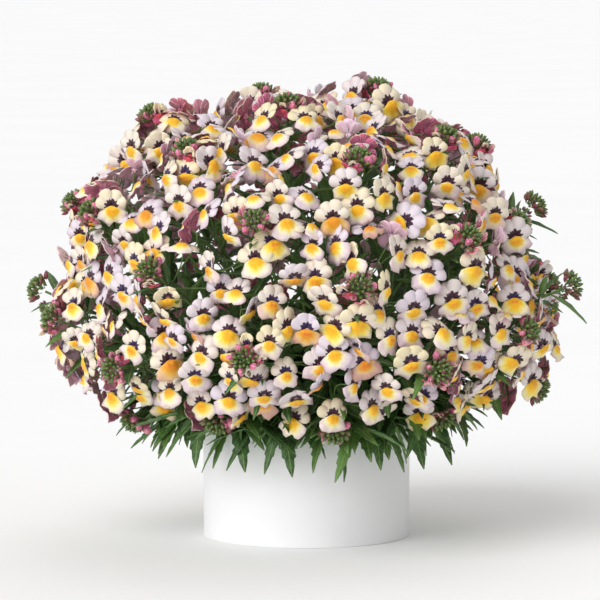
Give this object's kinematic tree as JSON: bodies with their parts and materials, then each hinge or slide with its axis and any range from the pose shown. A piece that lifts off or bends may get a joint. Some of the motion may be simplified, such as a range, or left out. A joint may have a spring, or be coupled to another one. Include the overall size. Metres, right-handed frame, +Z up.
{
  "type": "potted flowering plant",
  "caption": "Flowering bedding plant with lipped blooms in cream, lilac and yellow over toothed leaves, in a plain round pot.",
  "frame": {"origin": "middle of the pot's flat underside", "axes": "+Z up along the pot's axis, -Y towards the plant's front"},
  "size_m": [0.393, 0.3662, 0.3389],
  "materials": {
    "pot": "plain white plastic with a soft sheen",
    "soil": "dark crumbly potting soil",
    "petals": "thin matt petals, cream to pale lilac with a yellow throat and a dark purple crown",
    "foliage": "mid-green leaves, stems and buds"
  },
  "bodies": {
    "root": {"pot": "pot", "soil": "soil", "flower_head_01": "petals", "flower_head_02": "petals", "flower_head_03": "petals", "flower_head_04": "petals", "flower_head_05": "petals", "flower_head_06": "petals", "flower_head_07": "petals", "flower_head_08": "petals", "flower_head_09": "petals", "flower_head_10": "petals", "flower_head_11": "petals", "flower_head_12": "petals", "flower_head_13": "petals", "flower_head_14": "petals", "flower_head_15": "petals", "flower_head_16": "petals", "flower_head_17": "petals", "flower_head_18": "petals", "flower_head_19": "petals", "flower_head_20": "petals", "flower_head_21": "petals", "flower_head_22": "petals", "flower_head_23": "petals", "flower_head_24": "petals", "flower_head_25": "petals", "flower_head_26": "petals", "flower_head_27": "petals", "flower_head_28": "petals", "flower_head_29": "petals", "flower_head_30": "petals", "flower_head_31": "petals", "flower_head_32": "petals", "flower_head_33": "petals", "flower_head_34": "petals", "flower_head_35": "petals", "flower_head_36": "petals", "flower_head_37": "petals", "flower_head_38": "petals", "flower_head_39": "petals", "flower_head_40": "petals", "flower_head_41": "petals", "flower_head_42": "petals", "flower_head_43": "petals", "flower_head_44": "petals", "leafy_stem_1": "foliage", "leafy_stem_2": "foliage", "leafy_stem_3": "foliage", "leafy_stem_4": "foliage", "leafy_stem_5": "foliage", "leafy_stem_6": "foliage", "leafy_stem_7": "foliage", "leafy_stem_8": "foliage", "leafy_stem_middle": "foliage"}
  },
  "joints": []
}
